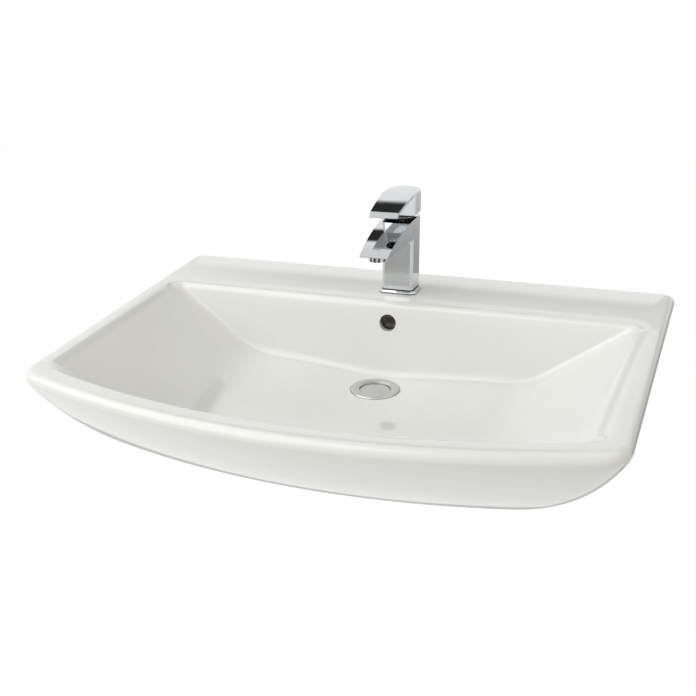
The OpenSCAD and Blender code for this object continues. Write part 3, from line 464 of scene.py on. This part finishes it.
print("hull and rim:", len(hull) + len(rim), "rings")

# %% [markdown]
# Inside, each wall runs in by its own amount: the sides by far the most, so that they read
# as slopes, the back hardly at all. The depth of a point of a wall is a share of the
# floor's depth below it, which grows towards the waste, so the back wall is a little
# taller in the middle.

# %% Bowl
SIDE_RIM, FRONT_RIM = 25.0, 28.0
BOWL_HALF_W, BOWL_BACK, BOWL_FRONT = BASIN_W / 2 - SIDE_RIM, 140.0, BASIN_D - FRONT_RIM
BOWL_H, WASTE_DEPTH, FUNNEL_R = 85.0, 97.0, 170.0
IN_SIDE, IN_BACK, IN_FRONT = 124.0, 17.0, 52.0
LIP_W, FILLET_W, BACK_FILLET_W = 8.0, 24.0, 6.0
UPPER_R, UPPER_FRONT_R, FOOT_R, FOOT_FRONT_R = 12.0, 24.0, 16.0, 25.6
WALL_SHARE, FOOT_SHARE = 0.1, 0.8
FLANGE_D = 62.5
SEAT_R = FLANGE_D / 2 + 2.0
WASTE_AT = np.array([0.0, -200.0])


def bowl_rings(side, back, front, back_r, front_r):
    """The bowl's mouth, drawn in by side, back and front, at height 0."""
    return rings(BOWL_HALF_W - side, BOWL_BACK + back, BOWL_FRONT - front, BOW_R - FRONT_RIM - front,
                 back_r, front_r, np.zeros(len(side)))


def floor_depth(points):
    """A shallow funnel round the waste's flat seat: BOWL_H far out, WASTE_DEPTH at the seat, and a
    parabola between them."""
    far = ((np.linalg.norm(points[..., :2] - WASTE_AT, axis=-1) - SEAT_R) / FUNNEL_R).clip(0, 1)
    return WASTE_DEPTH + (BOWL_H - WASTE_DEPTH) * far * (2 - far)


single = np.ones(1)
foot = bowl_rings((IN_SIDE + FILLET_W) * single, (IN_BACK + BACK_FILLET_W) * single,
                  (IN_FRONT + FILLET_W) * single, FOOT_R * single, FOOT_FRONT_R * single)
foot_depth = floor_depth(foot[0])


def deepen(grid, share):
    """Lowers each ring to its share of the depth that the floor has below each of its points."""
    grid[..., 2] = -share[:, None] * foot_depth[None, :]
    return grid


t = np.linspace(0.0, 1.0, 9)
lip = deepen(bowl_rings(*(bend(-LIP_W, 0.0, w * WALL_SHARE, t) for w in (IN_SIDE, IN_BACK, IN_FRONT)),
                        UPPER_R + LIP_W * (1 - t), UPPER_FRONT_R + LIP_W * (1 - t)),
             bend(0.0, 0.0, WALL_SHARE, t))
t = np.linspace(0.0, 1.0, 10)[1:]
share = WALL_SHARE + (FOOT_SHARE - WALL_SHARE) * t
wall = deepen(bowl_rings(IN_SIDE * share, IN_BACK * share, IN_FRONT * share, UPPER_R + 0 * t,
                         UPPER_FRONT_R + (FOOT_FRONT_R - UPPER_FRONT_R) * t), share)
t = np.linspace(0.0, 1.0, 12)[1:]
fillet = deepen(bowl_rings(bend(IN_SIDE * FOOT_SHARE, IN_SIDE, IN_SIDE + FILLET_W, t),
                           bend(IN_BACK * FOOT_SHARE, IN_BACK, IN_BACK + BACK_FILLET_W, t),
                           bend(IN_FRONT * FOOT_SHARE, IN_FRONT, IN_FRONT + FILLET_W, t),
                           UPPER_R + (FOOT_R - UPPER_R) * t, FOOT_FRONT_R + 0 * t),
                bend(FOOT_SHARE, 1.0, 1.0, t))
t = np.linspace(0.0, 1.0, 15)[1:, None, None]
spread = foot[..., :2] - WASTE_AT
inner = spread * SEAT_R / np.linalg.norm(spread, axis=-1, keepdims=True)
floor_plan = WASTE_AT + spread + (inner - spread) * t
floor = np.concatenate([floor_plan, -floor_depth(floor_plan)[..., None]], -1)

stack = np.concatenate([hull, rim, lip, wall, fillet, floor]) + [0.0, 0.0, RIM_Z]
basin = closed_skin("basin_shell", stack * MM, "glazed_china", "fixed")
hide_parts("basin")
print("basin:", len(stack), "rings of", stack.shape[1], "points")

# %% [markdown]
# The casting is open below, where the tap, the pipes and the bolts need room, and has a
# collar round the waste and a duct for the overflow. These are cut into and added to
# the skin with plain solids, exactly as a mould's cores would form them. A Boolean that
# keeps the mesh closed is used, because the skin is closed before and after.

# %% Recesses, duct and holes
LEDGE_T, FLOOR_T, DUCT_D, DUCT_WALL = 16.0, 14.0, 16.0, 7.0
DUCT_Y = -122.0
DUCT_BOTTOM = WASTE_DEPTH + FLOOR_T + DUCT_D / 2
# Below the duct, its cover reaches down by COVER and the recesses by far more, to CORE_END
COVER, CORE_END, CORE_R = 13.0, -150.0, 20.0
TAP_Y, TAP_HOLE_R, OVERFLOW_DOWN, OVERFLOW_R = -80.0, 17.5, 27.0, 11.0
COLLAR_R, COLLAR_H, WASTE_HOLE_R = 36.0, 44.0, 23.0
BOLT_X, BOLT_DOWN, BOLT_R, BOLT_DEPTH = 140.0, 75.0, 7.0, 17.0
WASTE_Y = WASTE_AT[1]
lift = np.array([0.0, 0.0, RIM_Z])


def round_box(x, y0, y1, z0, z1, r):
    """A prism with round upright edges: four quarter circles joined, at two heights."""
    turn = np.radians(np.linspace(0, 90, 9))
    corners = [(x - r, y1 - r, 0), (-x + r, y1 - r, 90), (-x + r, y0 + r, 180), (x - r, y0 + r, 270)]
    ring = np.concatenate([np.stack([cx + r * np.cos(turn + np.radians(a)),
                                     cy + r * np.sin(turn + np.radians(a))], -1)
                           for cx, cy, a in corners])[::-1]
    return np.stack([np.concatenate([ring, np.full((len(ring), 1), z)], -1) for z in (z0, z1)]) + lift


def rod(x, y, z, r, length, axis=2):
    """A cylinder that starts at x, y, z and runs along an axis, backwards if length is negative."""
    return lathe([(r, min(0.0, length)), (r, max(0.0, length))], (x, y, z + RIM_Z), axis)


# One recess under the ledge with the tap, one under the floor of the bowl
recesses = [round_box(190, -131, -15, CORE_END, -LEDGE_T, CORE_R),
            round_box(160, -290, -91, CORE_END, -WASTE_DEPTH - FLOOR_T, CORE_R)]
# The collar round the waste, and the upright and the level stretch of the duct's cover
additions = [rod(0, WASTE_Y, -WASTE_DEPTH - COLLAR_H, COLLAR_R, COLLAR_H - 8),
             rod(0, DUCT_Y, -DUCT_BOTTOM - COVER, DUCT_D / 2 + DUCT_WALL, DUCT_BOTTOM + COVER - 8),
             round_box(DUCT_D / 2 + DUCT_WALL, WASTE_Y, DUCT_Y, -DUCT_BOTTOM - COVER,
                       -DUCT_BOTTOM + COVER - 1, 0.5)]
# The tap hole, the waste's hole and its seat, the overflow, its duct down and over to the
# waste, and the two bolt holes in the back. Each starts or ends 1 mm outside the china.
holes = [rod(0, TAP_Y, -LEDGE_T - 1, TAP_HOLE_R, LEDGE_T + 2),
         rod(0, WASTE_Y, -WASTE_DEPTH - COLLAR_H - 1, WASTE_HOLE_R, 50),
         rod(0, WASTE_Y, -WASTE_DEPTH - 1.5, FLANGE_D / 2 + 0.75, 10),
         rod(0, DUCT_Y, -OVERFLOW_DOWN, OVERFLOW_R, -40, 1),
         rod(0, DUCT_Y, -DUCT_BOTTOM, DUCT_D / 2, DUCT_BOTTOM - OVERFLOW_DOWN),
         rod(0, DUCT_Y, -DUCT_BOTTOM, DUCT_D / 2, WASTE_Y - DUCT_Y, 1)]
holes += [rod(side * BOLT_X, 1, -BOLT_DOWN, BOLT_R, -BOLT_DEPTH, 1) for side in (-1, 1)]


def carve(piece, grids, operation):
    """Cuts or joins solids given as stacks of rings."""
    tools = []
    for grid in grids:
        tool = closed_skin("core", grid * MM, None, None)
        modifier = piece.modifiers.new("core", "BOOLEAN")
        modifier.operation, modifier.solver, modifier.object = operation, "MANIFOLD", tool
        tools.append(tool)
    settle(piece)
    for tool in tools:
        mesh = tool.data
        bpy.data.objects.remove(tool)
        bpy.data.meshes.remove(mesh)


carve(basin, recesses, "DIFFERENCE")
carve(basin, additions, "UNION")
carve(basin, holes, "DIFFERENCE")
soften(basin, 32.0)
print("basin after the cores:", len(basin.data.polygons), "faces")

# %% [markdown]
# The mixer's castings are ground flat, then polished, and polishing rounds every edge by
# half a millimetre. That line of light along an edge is what makes chrome look real.
# The solids have the right shape, so each plated one is copied, its loose triangles are
# merged back into faces, and a Bevel rounds what is sharp. A Weighted Normal modifier then
# keeps the large faces flat in the light, so that only the roundings catch it.

# %% Polished edges
def polished(name, width, segments=3, angle=18.0):
    """A merged copy of a solid with rounded edges, which then stands for it."""
    source = nodes[name]
    piece = bpy.data.objects.new(name + "_polished", source.data.copy())
    bpy.context.scene.collection.objects.link(piece)
    weld = piece.modifiers.new("weld", "WELD")
    weld.merge_threshold = 1e-6
    plain = piece.modifiers.new("plain", "DECIMATE")
    plain.decimate_type = "DISSOLVE"
    plain.angle_limit = math.radians(0.3)
    edge = piece.modifiers.new("edge", "BEVEL")
    edge.width, edge.segments, edge.limit_method = width * MM, segments, "ANGLE"
    edge.angle_limit = math.radians(angle)
    edge.harden_normals = False
    edge.use_clamp_overlap = True
    settle(piece)
    soften(piece)
    weigh = piece.modifiers.new("weigh", "WEIGHTED_NORMAL")
    weigh.keep_sharp = True
    settle(piece)
    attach(piece, body_of[name])
    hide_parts(name)
    return piece


EDGE_WIDTHS = {"tap_body": 0.5, "lever": 0.5, "tap_base_ring": 0.4, "neck_ring": 0.4,
               "aerator_housing": 0.3, "waste_nut": 0.6}
for name, width in EDGE_WIDTHS.items():
    made = polished(name, width)
    print(made.name, len(made.data.polygons), "faces")

# %% [markdown]
# Plating hardly reaches into a deep hollow, and nobody polishes there. The lever's hollow
# underside stays a rough casting, painted near black as shade, so the gap between the lever
# and the body looks black. The faces are picked by where their middles lie, inside the
# lever's walls and under its roof.

# %% The lever's hollow
LEVER_WALL, LEVER_ROOF = 3.6, 7.9
lever_piece = bpy.data.objects["lever_polished"]
low, high = (np.array(corner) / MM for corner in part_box("lever"))
reach_in = high - [LEVER_WALL, LEVER_WALL, LEVER_ROOF]
front_in = high[1] - (high[0] - low[0]) + LEVER_WALL
mesh = lever_piece.data
middles = np.zeros(len(mesh.polygons) * 3)
mesh.polygons.foreach_get("center", middles)
middles = middles.reshape(-1, 3) / MM
hollow = (abs(middles[:, 0]) < reach_in[0]) & (middles[:, 1] > front_in) & (middles[:, 1] < reach_in[1])
hollow &= middles[:, 2] < reach_in[2]
hollow |= middles[:, 2] < low[2] + 0.05
# The hollow's faces get the near-black casting, which is painted shade
mesh.materials.append(painted_shade_casting)
mesh.polygons.foreach_set("material_index", hollow.astype(np.int32))
print("dull faces in the lever:", int(hollow.sum()))

# %% [markdown]
# The remaining solids keep their own mesh. Their round walls only need smooth shading,
# which is a matter of normals and leaves their points where they are.

# %% Smooth round walls
for name, part in nodes.items():
    if not part.hide_render:
        part.data.shade_smooth()
print("solids that keep their own mesh:", sum(not part.hide_render for part in nodes.values()))

# %% [markdown]
# The camera stands above and to the right of the basin, and looks down to the left. Its
# place and lens were found from the straight edges of the rim.

# %% Camera
FOCAL_PX, IMAGE_PX, SENSOR = 875.856, 696.0, 36.0
PITCH, YAW, ROLL = (math.radians(v) for v in (21.2395, 18.6308, -0.4758))
CAMERA_AT = (0.292037, -1.171803, 0.353319 + RIM_Z * MM)
lens = bpy.data.cameras.new("camera")
lens.sensor_width, lens.lens = SENSOR, FOCAL_PX * SENSOR / IMAGE_PX
lens.clip_start = 0.05
camera = bpy.data.objects.new("camera", lens)
camera.matrix_world = (Matrix.Translation(CAMERA_AT) @ Matrix.Rotation(YAW, 4, "Z")
                       @ Matrix.Rotation(math.pi / 2 - PITCH, 4, "X") @ Matrix.Rotation(ROLL, 4, "Z"))
bpy.context.scene.collection.objects.link(camera)
bpy.context.scene.camera = camera
print("lens:", round(lens.lens, 1), "mm")

# %% [markdown]
# White goods are lit by large soft sources, so that their shading shows the form and not the
# lamps. A key three metres wide hangs to the left and in front, and a smaller, much weaker
# fill hangs high on the right. Small lamps would do for a plain shape, but their mirror
# images would lie on the glaze as hard white spots.

# %% Lamps
scene = bpy.context.scene
scene.view_settings.view_transform = "Standard"
BASIN_MIDDLE = (0.0, -0.25, 0.0)


def softbox(name, place, aim, size, watts, colour=(1.0, 1.0, 1.0)):
    """A rectangular area lamp at place, facing aim."""
    light = bpy.data.lights.new(name, "AREA")
    light.shape, light.size, light.size_y = "RECTANGLE", size[0], size[1]
    light.energy, light.color = watts, colour
    lamp = bpy.data.objects.new(name, light)
    lamp.matrix_world = facing(place, aim)
    scene.collection.objects.link(lamp)
    return lamp


def facing(place, aim):
    """A matrix that puts a thing at place with its -Z towards aim: Z points back from aim, X is
    level and Y is square to both."""
    place, aim = np.array(place, float), np.array(aim, float)
    z = (place - aim) / np.linalg.norm(place - aim)
    x = np.cross((0.0, 1.0, 0.0) if abs(z[2]) > 0.9 else (0.0, 0.0, 1.0), z)
    x /= np.linalg.norm(x)
    y = np.cross(z, x)
    return Matrix([(*row, place[i]) for i, row in enumerate(np.stack([x, y, z], -1))] + [(0, 0, 0, 1)])


softbox("key", (-1.4, -1.5, 1.8), BASIN_MIDDLE, (3.2, 3.0), 38.0, (1.0, 0.99, 0.97))
softbox("fill", (1.3, -0.5, 2.0), BASIN_MIDDLE, (1.2, 1.2), 3.0)
print("lamps:", ", ".join(light.name for light in bpy.data.lights))

# %% [markdown]
# The world does two jobs. It lights the basin from all sides, a little brighter from the
# front, the left and below, and warmer from the right. And it is the background, plain white
# wherever it is seen, also in a mirror. Chrome needs something dark as well, or it looks like
# grey paint: a dark band high on the wall's side, with soft edges, gives the lever and the
# spout their black stretches. The ceiling above it is slightly dimmer than white. Both show
# in reflections alone. Light Path tells the rays that light from the rays that look.

# %% World
def emptied_tree(owner):
    """The node tree of a material or a world, with nothing in it."""
    owner.use_nodes = True
    owner.node_tree.nodes.clear()
    return owner.node_tree


def to_surface(tree, shader, kind="ShaderNodeOutputMaterial"):
    """Ends a tree: the shader feeds the surface of a new output node."""
    tree.links.new(shader.socket, tree.nodes.new(kind).inputs["Surface"])


def looking_rays(tree):
    """Two values: 1 for a reflected ray, and 1 for any ray that looks instead of lighting."""
    paths = node_of(tree, "ShaderNodeLightPath").socket.node.outputs
    reflected = Shade(tree, paths["Is Glossy Ray"])
    looking = Shade(tree, paths["Is Camera Ray"]) + reflected + Shade(tree, paths["Is Transmission Ray"])
    return reflected, looking.clamp()


# The band's lower and upper edge and the ceiling's start, as sines of the height above the
# horizon, how far towards the wall and how far left the band lies, and how dark it is
BAND_LOW, BAND_HIGH, CEILING_LOW = (0.475, 0.53), (0.67, 0.715), (0.715, 0.80)
BAND_WALLWARD, BAND_RIGHT_END = (0.5, 0.65), (-0.1, 0.05)
BAND_DEPTH, BAND_FADE, CEILING_DEPTH = 0.97, 0.65, 0.13
COOL, WARM, WHITE = (0.965, 1.0, 0.99), (1.0, 0.93, 0.84), (1.0, 1.0, 1.0)

world = bpy.data.worlds.new("studio")
tree = emptied_tree(world)
reflected, looking = looking_rays(tree)
rightward, wallward, height = axes_of(tree, node_of(tree, "ShaderNodeTexCoord"))
band = height.ramp(*BAND_LOW) * (1.0 - height.ramp(*BAND_HIGH)) * wallward.ramp(*BAND_WALLWARD)
band = band * (1.0 - BAND_FADE * rightward.ramp(*BAND_RIGHT_END))
ceiling = CEILING_DEPTH * height.ramp(*CEILING_LOW)
lit = 0.63 - 0.16 * rightward - 0.17 * wallward - 0.09 * height
strength = ((lit + (1.0 - lit) * looking) * (1.0 - BAND_DEPTH * band * reflected)
            * (1.0 - ceiling * reflected))
tint = mix_colour(tree, (1.0 - looking) * rightward.ramp(-0.1, 0.7), COOL, WARM)
colour = mix_colour(tree, looking, tint, WHITE)
backdrop = node_of(tree, "ShaderNodeBackground", {}, {"Color": colour, "Strength": strength})
to_surface(tree, backdrop, "ShaderNodeOutputWorld")
scene.world = world
print("world:", len(tree.nodes), "nodes")


# %% [markdown]
# The floor has to be white in the picture and still hold the basin's soft shadow. So a ray
# that looks at it sees a share of plain white glow and the rest of matt paint, and a
# ray that carries light sees the paint alone.

# %% Floor
FLOOR_Z, FLOOR_W, WHITE_SHARE, WHITE_GLOW = -0.775, 14.0, 0.88, 1.06


def flat_sheet(name, matrix, width, depth, material):
    """A rectangle round the origin, placed by a matrix."""
    corners = np.array([(-1, -1, 0), (1, -1, 0), (1, 1, 0), (-1, 1, 0)], float)
    corners *= [width / 2, depth / 2, 0]
    points = np.array([matrix @ Matrix.Translation(c).to_translation() for c in corners])
    piece = mesh_piece(name, points, [np.array([[0, 1, 2, 3]])], None, None)
    piece.data.materials.append(material)
    return piece


floor_paint = bpy.data.materials.new("floor_paint")
tree = emptied_tree(floor_paint)
reflected, looking = looking_rays(tree)
paint = node_of(tree, "ShaderNodeBsdfDiffuse", {}, {"Color": (0.86, 0.86, 0.85, 1.0)})
glow = node_of(tree, "ShaderNodeEmission", {}, {"Color": (*WHITE, 1.0), "Strength": WHITE_GLOW})
to_surface(tree, node_of(tree, "ShaderNodeMixShader", {}, {0: WHITE_SHARE * looking, 1: paint, 2: glow}))
flat_sheet("floor", Matrix.Translation((0.0, 0.0, FLOOR_Z)), FLOOR_W, FLOOR_W, floor_paint)
print("floor:", FLOOR_W, "m wide, at", FLOOR_Z, "m")

# %% [markdown]
# In front of pure white a white basin loses its edges, and chrome its sides. Photographers
# stand grey cards round such things. Three of them glow dimly and show in reflections
# alone: the low part of a wall, for the tap's right sides, a strip of that wall, which the
# deck mirrors, and the floor behind, which the hull's lower edge mirrors at a grazing
# angle. A fourth is dark and unseen. It stands beside the right end and keeps the low
# light from it, where the hull turns away.

# %% Cards
NEAR_WHITE = 0.95


def reflected_card(name, place, aim, size, levels, heights, left_fade=None, foot_fade=None):
    """A glowing sheet seen in reflections alone, whose strength runs from one level to another
    between two heights. With left_fade or foot_fade it also runs up to NEAR_WHITE between two
    places, towards the left or downwards, so that this edge doesn't show. The strength is the
    share of a white glow that is mixed with black."""
    paint = bpy.data.materials.new(name + "_paint")
    tree = emptied_tree(paint)
    across, _, rise = axes_of(tree, object_place(tree))
    level = levels[0] + (levels[1] - levels[0]) * rise.ramp(*heights)
    for along, fade in ((across, left_fade), (rise, foot_fade)):
        if fade:
            level = level + (NEAR_WHITE - level) * (1.0 - along.ramp(*fade))
    black, white = (node_of(tree, "ShaderNodeEmission", {}, {"Color": (*WHITE, 1.0), "Strength": glow})
                    for glow in (0.0, 1.0))
    to_surface(tree, node_of(tree, "ShaderNodeMixShader", {}, {0: level, 1: black, 2: white}))
    card = flat_sheet(name, facing(place, aim), *size, paint)
    card.visible_camera = card.visible_diffuse = card.visible_shadow = False
    return card


cards = [reflected_card("dim_wall", (0.6, 1.2, -0.35), (0.6, 0.0, -0.35), (3.2, 0.84),
                        (0.40, 0.65), (-0.26, -0.03)),
         reflected_card("wall_strip", (-0.1, 0.3, 0.18), (-0.1, -0.5, 0.18), (2.0, 0.10),
                        (0.45, 0.60), (0.16, 0.225), (-0.75, -0.15), (0.13, 0.165)),
         reflected_card("dim_floor", (-0.5, 0.72, -0.76), (-0.5, 0.72, 0.0), (3.0, 0.9),
                        (0.50, 0.50), (-1.0, 0.0))]
flag_paint = new_material("flag_paint", (0.12, 0.12, 0.12))[0]
flag = flat_sheet("flag", facing((0.43, -0.23, -0.10), (0.0, -0.23, -0.10)), 0.52, 0.46, flag_paint)
flag.visible_camera = flag.visible_glossy = False
print("cards:", ", ".join(card.name for card in [*cards, flag]))
